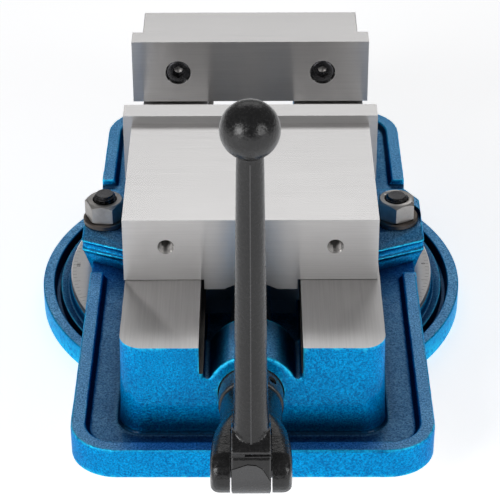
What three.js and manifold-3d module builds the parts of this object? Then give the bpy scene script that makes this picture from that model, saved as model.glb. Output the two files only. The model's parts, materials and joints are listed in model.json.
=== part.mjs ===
// Angle-lock machine vise on a graduated swivel base, with a folding crank.
//
// Millimetres, +Z up. The origin is on the swivel axis, at the underside of the swivel base.
// +Y runs along the bed from the crank towards the fixed jaw, +X is the right-hand side.

import * as THREE from 'three';
import { mergeVertices } from 'three/addons/utils/BufferGeometryUtils.js';
import Module from 'manifold-3d';

const wasm = await Module();
wasm.setup();

// ---- Driving dimensions -------------------------------------------------------------------

const fitGap = 0.3; // between pieces that sit in or against each other
const slideGap = 0.2; // between faces that slide on each other

// Swivel base
const baseRadius = 137.8;
const baseRimWidth = 7.6;
const baseRimTop = 15.5;
const baseGutter = { inner: 126.2, floor: 8 }; // a narrow groove inside the rim
const baseShoulder = { outer: 14, inner: 12.5 }; // heights between the gutter and the hub
const hubRadius = 119;
const hubTop = 22.8;
const hubBand = 4; // height of the machined band around the hub
const tSlotRadius = 95;
const tSlotThroat = 16;
const tSlotWidth = 28;
const tSlotLip = 9;
const tSlotFloor = 5;
const pivotRadius = 15;
const pivotSeat = 6; // web left under the pivot pin
const mountSlotWidth = 18;
const mountSlotCentre = 125;
const mountSeatRadius = 13;

// Vise body
const bodyUnderside = 23;
const gutterFloor = 37;
const flangeRimTop = 42;
const bedTop = 96;
const flangeHalfWidth = 104.7;
const flangeFront = -227.3;
const flangeRear = 185;
const flangeFrontCorner = 28;
const flangeRearCorner = 34;
const flangeRimWidth = 8.3;
const rimGap = [-40, 79]; // where the side rims give way to the lugs
const bodyHalfWidth = 74.8;
const bodyCorner = 13;
const wallFront = -204.3;
const wallThickness = 39;
const bodyRear = 157;
const channelHalfWidth = 29.3;
const ledgeUndercut = { halfWidth: 38, low: 50, high: 78 };
const humpRadius = 26;
const notchDepth = 20.5;

// Screw line
const screwHeight = 65;
const screwRadius = 12;
const journalBore = 12.5;
const collarRecess = { radius: 19, depth: 12 };
const bearingRecess = { radius: 22.3, depth: 12.7 };

// Jaws
const jawPlate = { halfWidth: 80, thickness: 15.5, height: 44.7 };
const jawScrewSpread = 49;
const jawScrewHeight = 22.8; // above the bed
const fixedJaw = { halfWidth: 73, depth: 32.3, height: 45.4, front: 106.9 };
const movableJaw = { halfWidth: 74.5, depth: 118.5, height: 40.8, rear: -15.1 };
const keelHalfWidth = 27.4;
const keelFoot = 89.5;
const keelDeep = 80.5;
const keelArch = 29;

// Clamping bolts
const lugReach = 111.5;
const lugTop = 61.5;
const lugSeat = 57;
const boltRadius = 7; // M14
const nutAcrossFlats = 22;
const washerThickness = 3.6;
const boltTop = { left: 77.5, right: 75.5 };
const nutTurn = { left: -6, right: 87 }; // degrees about its bolt

// Crank
const crankPinY = -272.8;
const pinRadius = 5;
const armReach = 206; // pin to the centre of the ball
const ballRadius = 15;

// ---- Solids -------------------------------------------------------------------------------

// A closed BufferGeometry as a manifold solid: shared vertices, no slivers, faces out.
function solidOf(geometry) {
  const plain = geometry.clone();
  plain.deleteAttribute('normal');
  plain.deleteAttribute('uv');
  const merged = mergeVertices(plain, 1e-4);
  const index = merged.index.array;
  const position = merged.attributes.position;
  const corner = [new THREE.Vector3(), new THREE.Vector3(), new THREE.Vector3()];
  const triangles = [];
  let volume = 0;
  for (let i = 0; i < index.length; i += 3) {
    const [a, b, c] = [index[i], index[i + 1], index[i + 2]];
    if (a === b || b === c || c === a) continue;
    corner[0].fromBufferAttribute(position, a);
    corner[1].fromBufferAttribute(position, b);
    corner[2].fromBufferAttribute(position, c);
    volume += corner[0].dot(corner[1].clone().cross(corner[2]));
    triangles.push(a, b, c);
  }
  if (volume < 0) triangles.reverse();
  return new wasm.Manifold(new wasm.Mesh({
    numProp: 3,
    vertProperties: new Float32Array(position.array),
    triVerts: new Uint32Array(triangles),
  }));
}

function geometryOf(solid) {
  const mesh = solid.getMesh();
  const geometry = new THREE.BufferGeometry();
  geometry.setAttribute('position', new THREE.BufferAttribute(mesh.vertProperties, 3));
  geometry.setIndex(new THREE.BufferAttribute(mesh.triVerts, 1));
  geometry.computeVertexNormals();
  return geometry;
}

function join(first, ...others) {
  return others.reduce((whole, part) => whole.add(part), first);
}

function cut(first, ...tools) {
  return tools.reduce((rest, tool) => rest.subtract(tool), first);
}

function box([x0, x1], [y0, y1], [z0, z1]) {
  const geometry = new THREE.BoxGeometry(x1 - x0, y1 - y0, z1 - z0);
  geometry.translate((x0 + x1) / 2, (y0 + y1) / 2, (z0 + z1) / 2);
  return solidOf(geometry);
}

// A flat outline in X and Y, raised from z0 to z1.
function upright(shape, z0, z1, curveSegments = 6) {
  const geometry = new THREE.ExtrudeGeometry(shape, { depth: z1 - z0, bevelEnabled: false, curveSegments });
  geometry.translate(0, 0, z0);
  return solidOf(geometry);
}

// An outline in X and Z, drawn along Y.
function alongY(shape, y0, y1, curveSegments = 6) {
  const geometry = new THREE.ExtrudeGeometry(shape, { depth: y1 - y0, bevelEnabled: false, curveSegments });
  geometry.rotateX(Math.PI / 2);
  geometry.translate(0, y1, 0);
  return solidOf(geometry);
}

// An outline in Y and Z, drawn along X.
function alongX(shape, x0, x1, curveSegments = 8) {
  const geometry = new THREE.ExtrudeGeometry(shape, { depth: x1 - x0, bevelEnabled: false, curveSegments });
  const axes = new THREE.Matrix4().makeBasis(
    new THREE.Vector3(0, 1, 0),
    new THREE.Vector3(0, 0, 1),
    new THREE.Vector3(1, 0, 0),
  );
  geometry.applyMatrix4(axes);
  geometry.translate(x0, 0, 0);
  return solidOf(geometry);
}

// A profile of [radius, z] points turned about Z.
function turned(profile, segments = 24) {
  const points = profile.map(([radius, z]) => new THREE.Vector2(radius, z));
  const geometry = new THREE.LatheGeometry(points, segments);
  geometry.rotateX(Math.PI / 2);
  return solidOf(geometry);
}

function ring(inner, outer, z0, z1, segments = 24) {
  return turned([[inner, z0], [outer, z0], [outer, z1], [inner, z1], [inner, z0]], segments);
}

function rod(axis, radius, from, to, centre = [0, 0, 0], segments = 16) {
  const geometry = new THREE.CylinderGeometry(radius, radius, to - from, segments);
  if (axis === 'z') geometry.rotateX(Math.PI / 2);
  if (axis === 'x') geometry.rotateZ(-Math.PI / 2);
  const along = (from + to) / 2;
  const shift = { x: [along, 0, 0], y: [0, along, 0], z: [0, 0, along] }[axis];
  geometry.translate(centre[0] + shift[0], centre[1] + shift[1], centre[2] + shift[2]);
  return solidOf(geometry);
}

function outline(points) {
  return new THREE.Shape(points.map(([x, y]) => new THREE.Vector2(x, y)));
}

// A rectangle whose low-y corners have one radius and whose high-y corners another.
function plan(halfWidth, y0, y1, lowCorner, highCorner) {
  const shape = new THREE.Shape();
  const quarter = Math.PI / 2;
  shape.moveTo(-halfWidth + lowCorner, y0);
  shape.absarc(halfWidth - lowCorner, y0 + lowCorner, lowCorner, -quarter, 0);
  shape.absarc(halfWidth - highCorner, y1 - highCorner, highCorner, 0, quarter);
  shape.absarc(-halfWidth + highCorner, y1 - highCorner, highCorner, quarter, 2 * quarter);
  shape.absarc(-halfWidth + lowCorner, y0 + lowCorner, lowCorner, 2 * quarter, 3 * quarter);
  return shape;
}

function hexagon(acrossFlats) {
  const radius = acrossFlats / Math.sqrt(3);
  const points = [];
  for (let i = 0; i < 6; i += 1) {
    points.push([radius * Math.cos(i * Math.PI / 3), radius * Math.sin(i * Math.PI / 3)]);
  }
  return outline(points);
}

// ---- Finishes -----------------------------------------------------------------------------

function finish(color, roughness, metalness) {
  return new THREE.MeshStandardMaterial({ color, roughness, metalness });
}

const blueEnamel = finish(0x0b6aa8, 0.35, 0.2);
const groundSteel = finish(0xb8b6b4, 0.35, 0.9);
const blackEnamel = finish(0x2b2b2d, 0.3, 0.1);
const blackenedSteel = finish(0x303032, 0.45, 0.8);
const nutSteel = finish(0x9a9794, 0.45, 0.85);
const brightSteel = finish(0xc4c4c6, 0.2, 0.95);
const bronze = finish(0x9c7440, 0.4, 0.8);
const castIron = finish(0x6f6e70, 0.6, 0.7);

function piece(name, solid, material, position = [0, 0, 0]) {
  const mesh = new THREE.Mesh(geometryOf(solid), material);
  mesh.name = name;
  mesh.position.set(...position);
  return mesh;
}

const sides = [['left', -1], ['right', 1]];

// ---- Swivel base --------------------------------------------------------------------------

function swivelBase() {
  const throat = [tSlotRadius - tSlotThroat / 2, tSlotRadius + tSlotThroat / 2];
  const wide = [tSlotRadius - tSlotWidth / 2, tSlotRadius + tSlotWidth / 2];
  const lip = hubTop - tSlotLip;
  const rimInner = baseRadius - baseRimWidth;
  const relief = { inner: 40, outer: 77, depth: 3 };
  const bore = pivotRadius + fitGap;
  const profile = [
    [0, 0], [relief.inner, 0], [relief.inner + 2, relief.depth], [relief.outer - 2, relief.depth],
    [relief.outer, 0], [baseRadius - 0.8, 0], [baseRadius, 0.8],
    [baseRadius, baseRimTop - 1], [baseRadius - 1, baseRimTop], [rimInner + 0.6, baseRimTop],
    [rimInner - 0.4, baseGutter.floor], [baseGutter.inner + 0.4, baseGutter.floor],
    [baseGutter.inner, baseShoulder.outer], [hubRadius + 0.8, baseShoulder.inner],
    [hubRadius + 0.8, hubTop - hubBand], [hubRadius, hubTop - hubBand],
    [hubRadius, hubTop - 0.5], [hubRadius - 0.5, hubTop],
    [throat[1], hubTop], [throat[1], lip], [wide[1], lip], [wide[1], tSlotFloor],
    [wide[0], tSlotFloor], [wide[0], lip], [throat[0], lip], [throat[0], hubTop],
    [bore, hubTop], [bore, pivotSeat], [0, pivotSeat],
  ];
  const slots = [];
  for (const end of [-1, 1]) {
    const near = [0, end * mountSlotCentre, 0];
    const far = end * (baseRadius + 5);
    const run = [Math.min(near[1], far), Math.max(near[1], far)];
    const half = mountSlotWidth / 2;
    slots.push(rod('z', half, -1, hubTop, near));
    slots.push(box([-half, half], run, [-1, hubTop]));
    slots.push(rod('z', mountSeatRadius, baseGutter.floor, hubTop + 1, near, 20));
  }
  // The heads of the clamping bolts enter the slot through an opening at the rear.
  const entry = box([-15, 15], wide, [tSlotFloor, hubTop + 1]);
  return cut(turned(profile, 48), entry, ...slots);
}

function pivotPin() {
  const shoulder = bodyUnderside - slideGap;
  return turned([
    [0, pivotSeat + fitGap], [pivotRadius - 1, pivotSeat + fitGap],
    [pivotRadius, pivotSeat + fitGap + 1], [pivotRadius, shoulder - fitGap],
    [12, shoulder - fitGap], [12, gutterFloor - 5], [0, gutterFloor - 5],
  ]);
}

// ---- Vise body ----------------------------------------------------------------------------

// One of the two ears that the clamping bolts go through, on the side given by its sign.
function lug(side) {
  const inside = bodyHalfWidth - 10;
  const tier = (innerFront, outerFront, rear, reach, z0, z1) => {
    const points = [
      [inside, innerFront], [reach, outerFront], [reach, rear - 14], [flangeHalfWidth, rear], [inside, rear],
    ];
    return upright(outline(points.map(([x, y]) => [side * x, y])), z0, z1);
  };
  return join(
    tier(-33, -20, 42, lugReach - 5, bodyUnderside, 38),
    tier(-34, -18, 40, lugReach - 0.5, gutterFloor, 52),
    tier(-24, -10, 34, lugReach, 51, lugSeat),
    tier(4, 4, 31, lugReach - 1, lugSeat - 1, lugTop),
  );
}

// The top line of the front wall between the rails: a round hump over the screw between two notches.
function wallNotch() {
  const edge = channelHalfWidth;
  const low = bedTop - notchDepth;
  const start = Math.asin((low - screwHeight) / humpRadius);
  const shape = new THREE.Shape();
  shape.moveTo(-edge, bedTop + 1);
  shape.lineTo(-edge, low + 2);
  shape.lineTo(-edge + 2, low);
  shape.lineTo(-humpRadius * Math.cos(start), low);
  shape.absarc(0, screwHeight, humpRadius, Math.PI - start, start, true);
  shape.lineTo(edge - 2, low);
  shape.lineTo(edge, low + 2);
  shape.lineTo(edge, bedTop + 1);
  return shape;
}

const jawBolt = { x: 60, radius: 6, headRadius: 9, headTop: 68, tip: 120 };
const jawKey = { x: [31.5, 49.5], width: 10, depth: 4 };
const fixedJawCentre = fixedJaw.front + fixedJaw.depth / 2;

function viseBody() {
  const wallRear = wallFront + wallThickness;
  const flange = plan(flangeHalfWidth, flangeFront, flangeRear, flangeFrontCorner, flangeRearCorner);
  const inner = plan(
    flangeHalfWidth - flangeRimWidth, flangeFront + flangeRimWidth, flangeRear - flangeRimWidth,
    flangeFrontCorner - flangeRimWidth, flangeRearCorner - flangeRimWidth,
  );
  const wide = [-lugReach - 5, lugReach + 5];
  // The rim stops beside the lugs.
  const rim = cut(
    upright(flange, gutterFloor - 1, flangeRimTop),
    upright(inner, gutterFloor - 2, flangeRimTop + 1),
    box(wide, rimGap, [gutterFloor, flangeRimTop + 1]),
  );
  const bed = plan(bodyHalfWidth, wallFront, bodyRear, bodyCorner, bodyCorner);
  let body = join(
    upright(flange, bodyUnderside, gutterFloor),
    rim,
    upright(bed, gutterFloor - 1, bedTop),
    lug(-1),
    lug(1),
  );
  const under = ledgeUndercut;
  // The flange has a notch behind the channel, where chips fall out.
  const channel = [-channelHalfWidth, channelHalfWidth];
  body = cut(
    body,
    box(channel, [bodyRear, flangeRear + 1], [bodyUnderside - 1, flangeRimTop + 1]),
    box(channel, [wallRear, bodyRear + 5], [gutterFloor, bedTop + 1]),
    box([-under.halfWidth, under.halfWidth], [wallRear, bodyRear + 5], [under.low, under.high]),
    alongY(wallNotch(), wallFront - 1, wallRear + 1, 14),
    rod('y', journalBore, wallFront - 1, wallRear + 1, [0, 0, screwHeight], 24),
    rod('y', collarRecess.radius, wallFront - 1, wallFront + collarRecess.depth, [0, 0, screwHeight], 32),
    rod('y', bearingRecess.radius, wallRear - bearingRecess.depth, wallRear + 1, [0, 0, screwHeight], 32),
    rod('z', 12 + fitGap, bodyUnderside - 1, gutterFloor - 4, [0, 0, 0], 24),
  );
  for (const [, side] of sides) {
    const bolt = [side * tSlotRadius, 0, 0];
    const jaw = [side * jawBolt.x, fixedJawCentre, 0];
    const key = jawKey.x.map((x) => side * x).sort((a, b) => a - b);
    const half = jawKey.width / 2;
    body = cut(
      body,
      rod('z', boltRadius + 0.8, bodyUnderside - 1, lugTop + 1, bolt),
      rod('z', 16, lugSeat, lugTop + 1, bolt, 24),
      rod('z', jawBolt.radius + 0.6, bodyUnderside - 1, bedTop + 1, jaw),
      rod('z', jawBolt.headRadius + 0.6, bodyUnderside - 1, jawBolt.headTop, jaw, 20),
      box(
        [key[0] - fitGap, key[1] + fitGap],
        [fixedJawCentre - half - fitGap, fixedJawCentre + half + fitGap],
        [bedTop - jawKey.depth - fitGap, bedTop + 1],
      ),
    );
  }
  return body;
}

// ---- Fasteners ----------------------------------------------------------------------------

// A socket head cap screw along Z: the seat of its head at z = 0, head up, thread down.
function socketScrew(radius, length, headRadius, headHeight) {
  const body = turned([
    [0, -length], [radius - 0.8, -length], [radius, -length + 0.8], [radius, 0],
    [headRadius, 0], [headRadius, headHeight - 0.7], [headRadius - 0.7, headHeight], [0, headHeight],
  ], 16);
  return cut(body, upright(hexagon(radius * 1.6), headHeight * 0.45, headHeight + 1));
}

// A headless screw with a hexagon socket along Z, its tip at z = 0.
function setScrew(radius, length) {
  const body = turned([
    [0, 0], [radius - 1, 0], [radius, 1], [radius, length - 0.6], [radius - 0.6, length], [0, length],
  ], 12);
  return cut(body, upright(hexagon(radius), length * 0.55, length + 1));
}

// A T-bolt along Z, standing where it does in the base's slot.
function tBolt(top) {
  const head = { half: 12, low: tSlotFloor + fitGap, high: hubTop - tSlotLip - fitGap };
  return join(
    box([-head.half, head.half], [-head.half, head.half], [head.low, head.high]),
    turned([
      [0, head.high - 1], [boltRadius, head.high - 1], [boltRadius, top - 1.2],
      [boltRadius - 1.2, top], [0, top],
    ], 20),
  );
}

function clampNut() {
  const height = 12.3;
  const corner = nutAcrossFlats / Math.sqrt(3);
  const blank = upright(hexagon(nutAcrossFlats), 0, height);
  const chamfer = turned([
    [0, 0], [corner - 0.8, 0], [corner + 0.1, 0.5], [corner + 0.1, height - 1.4],
    [nutAcrossFlats / 2 - 0.2, height], [0, height],
  ]);
  const bore = rod('z', boltRadius + fitGap, -1, height + 1, [0, 0, 0], 20);
  return cut(blank.intersect(chamfer), bore);
}

// ---- Jaws ---------------------------------------------------------------------------------

const jawScrew = { radius: 5, length: 24, headRadius: 8, headHeight: 9.6, sink: 10.6 };

// A hardened jaw plate with its working face at y = 0 and its back at y = away * thickness.
function jawPlateSolid(away) {
  const back = away * jawPlate.thickness;
  const run = [Math.min(0, back), Math.max(0, back)];
  let plate = box([-jawPlate.halfWidth, jawPlate.halfWidth], run, [0, jawPlate.height]);
  for (const [, side] of sides) {
    const centre = [side * jawScrewSpread, 0, jawScrewHeight - 1];
    const sink = away * jawScrew.sink;
    plate = cut(
      plate,
      rod('y', jawScrew.radius + 0.4, run[0] - 1, run[1] + 1, centre),
      rod('y', jawScrew.headRadius + 0.6, Math.min(-away, sink), Math.max(-away, sink), centre, 20),
    );
  }
  return plate;
}

function fixedJawBlock() {
  const jaw = fixedJaw;
  const half = jawKey.width / 2 + fitGap;
  let block = box([-jaw.halfWidth, jaw.halfWidth], [jaw.front, jaw.front + jaw.depth],
    [bedTop + fitGap, bedTop + jaw.height]);
  for (const [, side] of sides) {
    const key = jawKey.x.map((x) => side * x).sort((a, b) => a - b);
    block = cut(
      block,
      rod('y', jawScrew.radius + fitGap, jaw.front - 1, jaw.front + jawScrew.length - 3,
        [side * jawScrewSpread, 0, bedTop + jawScrewHeight]),
      rod('z', jawBolt.radius + fitGap, bedTop - 1, jawBolt.tip + 2, [side * jawBolt.x, fixedJawCentre, 0]),
      box([key[0] - fitGap, key[1] + fitGap], [fixedJawCentre - half, fixedJawCentre + half],
        [bedTop - 1, bedTop + jawKey.depth + fitGap]),
    );
  }
  return block;
}

// The lock: the nut's overhanging 45 degree face drives the half ball, and the half ball pulls the
// movable jaw along the bed and down onto it at the same time.
const lock = { y: -60, z: 102, ball: 14, gap: 4 };
const horn = { halfWidth: 18, front: -88, neck: -70, top: 112 };
const vSetScrew = { radius: 4, z: 104, length: 22 };

function movableJawBlock() {
  const jaw = movableJaw;
  const front = jaw.rear - jaw.depth;
  const seat = bedTop + slideGap;
  const deep = [-91.5, -20];
  const face = lock.z - lock.y - lock.gap * Math.SQRT2;
  const pocket = outline([
    [horn.front - 4, keelDeep - 1], [horn.neck + 3, keelDeep - 1], [horn.neck + 3, face + horn.neck + 3],
    [horn.top + 3 - face, horn.top + 3], [horn.front - 4, horn.top + 3],
  ]);
  const socket = new THREE.SphereGeometry(lock.ball + fitGap, 16, 10);
  socket.translate(0, lock.y, lock.z);
  let block = join(
    box([-jaw.halfWidth, jaw.halfWidth], [front, jaw.rear], [seat, bedTop + jaw.height]),
    cut(
      box([-keelHalfWidth, keelHalfWidth], [front, deep[0] + 1], [keelFoot, seat + 1]),
      rod('y', keelArch, front - 1, deep[0] + 2, [0, 0, screwHeight], 48),
    ),
    box([-keelHalfWidth, keelHalfWidth], deep, [keelDeep, seat + 1]),
  );
  block = cut(
    block,
    alongX(pocket, -horn.halfWidth - 1.5, horn.halfWidth + 1.5),
    solidOf(socket),
    rod('y', vSetScrew.radius + fitGap, front - 1, horn.front, [0, 0, vSetScrew.z]),
  );
  for (const [, side] of sides) {
    const centre = [side * (jawScrewSpread + 0.4), 0, bedTop + jawScrewHeight];
    const lead = new THREE.CylinderGeometry(4.3, 5.9, 1.6, 16);
    lead.translate(centre[0], front + 0.7, centre[2]);
    block = cut(
      block,
      rod('y', 4.3, front - 1, front + 22, centre),
      solidOf(lead),
      rod('y', jawScrew.radius + fitGap, jaw.rear - jawScrew.length + 3, jaw.rear + 1,
        [side * jawScrewSpread, 0, bedTop + jawScrewHeight]),
    );
  }
  return block;
}

function jawNut() {
  const front = horn.front;
  const rear = front + 50;
  const wings = 36;
  const hornProfile = outline([
    [front, 78], [horn.neck, 78], [horn.neck, lock.z - lock.y + horn.neck],
    [horn.top - lock.z + lock.y, horn.top], [front, horn.top],
  ]);
  const body = join(
    box([-channelHalfWidth + 1.3, channelHalfWidth - 1.3], [front, rear], [42, keelDeep - 0.5]),
    box([-wings, wings], [front, rear], [ledgeUndercut.low + 2, ledgeUndercut.high - 0.6]),
    alongX(hornProfile, -horn.halfWidth, horn.halfWidth),
  );
  return cut(body, rod('y', screwRadius + 0.5, front - 1, rear + 1, [0, 0, screwHeight], 24));
}

// The half ball that sits between the nut's slanted face and the socket in the jaw.
function lockSegment() {
  const ball = solidOf(new THREE.SphereGeometry(lock.ball, 16, 10));
  const half = new THREE.BoxGeometry(60, 60, 60);
  half.translate(0, 0, -30 - fitGap);
  half.rotateX(Math.PI / 4);
  return ball.intersect(solidOf(half));
}

// ---- Screw line, along local Z with z = 0 at the front face of the wall ----------------------

const bearing = { inner: 12.4, outer: 21.5, race: 2.5, ball: 2.5, pitch: 17, start: 26.6 };
const ballPlane = bearing.start + bearing.race + bearing.ball + 0.2;
const rearRace = ballPlane + bearing.ball + 0.2;
const thrustFace = rearRace + bearing.race + 0.2;
const stubTip = -45.7;
const stubRadius = 9;
const screwEnd = 264;
const clip = { z: 260.6, width: 1.8, outer: 14.5, groove: 10, inner: 10.7, side: 0.4 };

function leadScrew() {
  const collar = 19;
  const thick = 9;
  const groove = [clip.z - clip.side, clip.z + clip.width + clip.side];
  return turned([
    [0, stubTip], [stubRadius - 1, stubTip], [stubRadius, stubTip + 1], [stubRadius, -13],
    [screwRadius, -13], [screwRadius, thrustFace], [collar, thrustFace], [collar, thrustFace + thick],
    [10, thrustFace + thick], [10, thrustFace + thick + 5], [screwRadius, thrustFace + thick + 7],
    [screwRadius, groove[0]], [clip.groove, groove[0]], [clip.groove, groove[1]],
    [screwRadius, groove[1]], [screwRadius, screwEnd - 1], [screwRadius - 1, screwEnd], [0, screwEnd],
  ]);
}

// Snap ring at the end of the thread: keeps the nut from running off the screw.
function endClip() {
  const open = box([-4, 4], [0, clip.outer + 1], [clip.z - 1, clip.z + clip.width + 1]);
  return cut(ring(clip.inner, clip.outer, clip.z, clip.z + clip.width), open);
}

function thrustCage(count) {
  const half = 1.3;
  let cage = ring(bearing.inner + 0.8, bearing.outer - 0.6, ballPlane - half, ballPlane + half);
  for (let i = 0; i < count; i += 1) {
    const angle = (i / count) * 2 * Math.PI;
    const centre = [bearing.pitch * Math.cos(angle), bearing.pitch * Math.sin(angle), 0];
    cage = cut(cage, rod('z', bearing.ball + fitGap, ballPlane - 2, ballPlane + 2, centre, 8));
  }
  return cage;
}

function thrustCollar() {
  const front = -13.4;
  const rear = collarRecess.depth - 2.1;
  const outer = collarRecess.radius - 0.6;
  const body = turned([
    [screwRadius + fitGap, front], [outer - 1, front], [outer, front + 1], [outer, rear],
    [screwRadius + fitGap, rear], [screwRadius + fitGap, front],
  ], 32);
  return cut(body, rod('y', 2.8, -outer - 1, -screwRadius + 1, [0, 0, -6.5], 12).rotate([0, 0, 42]));
}

// The crank's hub: a round neck on the screw's stub that widens into a fork.
function crankHub() {
  const pin = crankPinY - wallFront;
  const neck = 17.4;
  const rear = -13.9;
  const earRadius = 13;
  const halfWidth = 21.25;
  const shoulder = -32;
  const slot = { half: 11.35, bottom: -52.7 };
  const tip = pin - earRadius;
  const spread = new THREE.Shape();
  spread.moveTo(-neck, shoulder);
  spread.quadraticCurveTo(-halfWidth, shoulder - 4, -halfWidth, shoulder - 14);
  spread.lineTo(-halfWidth, tip + 4);
  spread.quadraticCurveTo(-halfWidth, tip, -halfWidth + 4, tip);
  spread.lineTo(halfWidth - 4, tip);
  spread.quadraticCurveTo(halfWidth, tip, halfWidth, tip + 4);
  spread.lineTo(halfWidth, shoulder - 14);
  spread.quadraticCurveTo(halfWidth, shoulder - 4, neck, shoulder);
  const flank = new THREE.Shape();
  const tangent = Math.asin((neck - earRadius) / (shoulder - pin));
  flank.moveTo(neck, shoulder);
  flank.lineTo(-neck, shoulder);
  flank.absarc(0, pin, earRadius, Math.PI + tangent, -tangent);
  const fork = alongY(spread, -30, 30).intersect(alongX(flank, -30, 30));
  return cut(
    join(fork, turned([
      [0, shoulder - 3], [neck, shoulder - 3], [neck, rear - 1], [neck - 1, rear], [0, rear],
    ])),
    box([-slot.half, slot.half], [-30, 30], [tip - 5, slot.bottom]),
    rod('x', pinRadius + fitGap, -30, 30, [0, 0, pin]),
    rod('z', stubRadius + fitGap, stubTip - 0.4, rear + 1),
    rod('y', 3 + fitGap, -neck - 5, 0, [0, 0, -23], 16),
  );
}

// ---- Crank arm, with the pivot pin on local X --------------------------------------------------

function handleArm() {
  const eye = { radius: 13, half: 10.55, heel: 15.4 };
  const profile = [
    [0, 2], [9.4, 2], [10.1, 15], [9.3, 38], [8.6, 66], [7, 188], [6.6, armReach - ballRadius + 0.6],
    [5, armReach - ballRadius + 0.6], [5, armReach - 6], [0, armReach - 6],
  ];
  const eyeSide = new THREE.Shape();
  eyeSide.moveTo(-eye.radius, 0);
  eyeSide.absarc(0, 0, eye.radius, Math.PI, 2 * Math.PI);
  eyeSide.lineTo(eye.heel, 0);
  eyeSide.lineTo(eye.heel, 10);
  eyeSide.lineTo(10.5, 24);
  eyeSide.lineTo(-10.5, 24);
  eyeSide.lineTo(-eye.radius, 16);
  return cut(
    join(turned(profile), alongX(eyeSide, -eye.half, eye.half, 12)),
    rod('x', pinRadius + fitGap, -20, 20),
  );
}

function ballKnob() {
  const ball = solidOf(new THREE.SphereGeometry(ballRadius, 24, 14).rotateX(Math.PI / 2));
  return cut(ball, rod('z', 5 + fitGap, -ballRadius - 1, -6 + fitGap));
}

// ---- Assembly -------------------------------------------------------------------------------

const vise = new THREE.Group();

const bodyGroup = new THREE.Group();
bodyGroup.add(piece('vise_body', viseBody(), blueEnamel));
bodyGroup.add(piece('pivot_pin', pivotPin(), brightSteel));
bodyGroup.add(piece('fixed_jaw', fixedJawBlock(), groundSteel));
bodyGroup.add(piece(
  'fixed_jaw_plate', jawPlateSolid(1), groundSteel, [0, fixedJaw.front - jawPlate.thickness, bedTop + 1],
));

const jawGroup = new THREE.Group();
jawGroup.add(piece('movable_jaw', movableJawBlock(), groundSteel));
jawGroup.add(piece(
  'movable_jaw_plate', jawPlateSolid(-1), groundSteel,
  [0, movableJaw.rear + jawPlate.thickness, bedTop + 1.3],
));
jawGroup.add(piece('jaw_nut', jawNut(), castIron));
jawGroup.add(piece('lock_segment', lockSegment(), brightSteel, [0, lock.y, lock.z]));

const lockScrew = piece('lock_set_screw', setScrew(vSetScrew.radius, vSetScrew.length), blackenedSteel);
lockScrew.position.set(0, horn.front - fitGap, vSetScrew.z);
lockScrew.rotation.x = Math.PI / 2;
jawGroup.add(lockScrew);

for (const [name, side] of sides) {
  const plateScrew = (label, y, turn) => {
    const screw = piece(
      `${label}_plate_screw_${name}`,
      socketScrew(jawScrew.radius, jawScrew.length, jawScrew.headRadius, jawScrew.headHeight),
      blackenedSteel,
      [side * jawScrewSpread, y, bedTop + jawScrewHeight],
    );
    screw.rotation.x = turn;
    return screw;
  };
  const fixedFace = fixedJaw.front - jawPlate.thickness;
  const movableFace = movableJaw.rear + jawPlate.thickness;
  bodyGroup.add(plateScrew('fixed', fixedFace + jawScrew.sink - fitGap, Math.PI / 2));
  jawGroup.add(plateScrew('movable', movableFace - jawScrew.sink + fitGap, -Math.PI / 2));

  const jawBoltMesh = piece(
    `fixed_jaw_bolt_${name}`,
    socketScrew(jawBolt.radius, jawBolt.tip - jawBolt.headTop, jawBolt.headRadius, 12),
    blackenedSteel,
    [side * jawBolt.x, fixedJawCentre, jawBolt.headTop - fitGap],
  );
  jawBoltMesh.rotation.x = Math.PI;
  bodyGroup.add(jawBoltMesh);

  const key = jawKey.x.map((x) => side * x).sort((a, b) => a - b);
  bodyGroup.add(piece(
    `fixed_jaw_key_${name}`,
    box(key, [-jawKey.width / 2, jawKey.width / 2], [-jawKey.depth, jawKey.depth]),
    brightSteel,
    [0, fixedJawCentre, bedTop],
  ));

  bodyGroup.add(piece(`t_bolt_${name}`, tBolt(boltTop[name]), blackenedSteel, [side * tSlotRadius, 0, 0]));
  bodyGroup.add(piece(
    `clamp_washer_${name}`, ring(boltRadius + fitGap, 14.5, 0, washerThickness), blackenedSteel,
    [side * tSlotRadius, 0, lugSeat + slideGap],
  ));
  const nutSeat = lugSeat + slideGap + washerThickness + slideGap;
  const nut = piece(`clamp_nut_${name}`, clampNut(), nutSteel, [side * tSlotRadius, 0, nutSeat]);
  nut.rotation.z = THREE.MathUtils.degToRad(nutTurn[name]);
  bodyGroup.add(nut);
}

const screwGroup = new THREE.Group();
screwGroup.position.set(0, wallFront, screwHeight);
screwGroup.rotation.x = -Math.PI / 2;
screwGroup.add(piece('lead_screw', leadScrew(), brightSteel));
screwGroup.add(piece('screw_end_clip', endClip(), blackenedSteel));
screwGroup.add(piece('thrust_collar', thrustCollar(), blackEnamel));
screwGroup.add(piece(
  'collar_washer', ring(screwRadius + 0.5, 18, collarRecess.depth - 1.8, collarRecess.depth - 0.2), bronze,
));
screwGroup.add(piece(
  'front_race', ring(bearing.inner, bearing.outer, bearing.start, bearing.start + bearing.race), brightSteel,
));
screwGroup.add(piece(
  'rear_race', ring(bearing.inner, bearing.outer, rearRace, rearRace + bearing.race), brightSteel,
));
const ballCount = 12;
screwGroup.add(piece('thrust_cage', thrustCage(ballCount), bronze));
for (let i = 0; i < ballCount; i += 1) {
  const angle = (i / ballCount) * 2 * Math.PI;
  screwGroup.add(piece(
    `bearing_ball_${String(i + 1).padStart(2, '0')}`,
    solidOf(new THREE.SphereGeometry(bearing.ball, 8, 6)),
    brightSteel,
    [bearing.pitch * Math.cos(angle), bearing.pitch * Math.sin(angle), ballPlane],
  ));
}
screwGroup.add(piece('crank_hub', crankHub(), blackEnamel));

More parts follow.
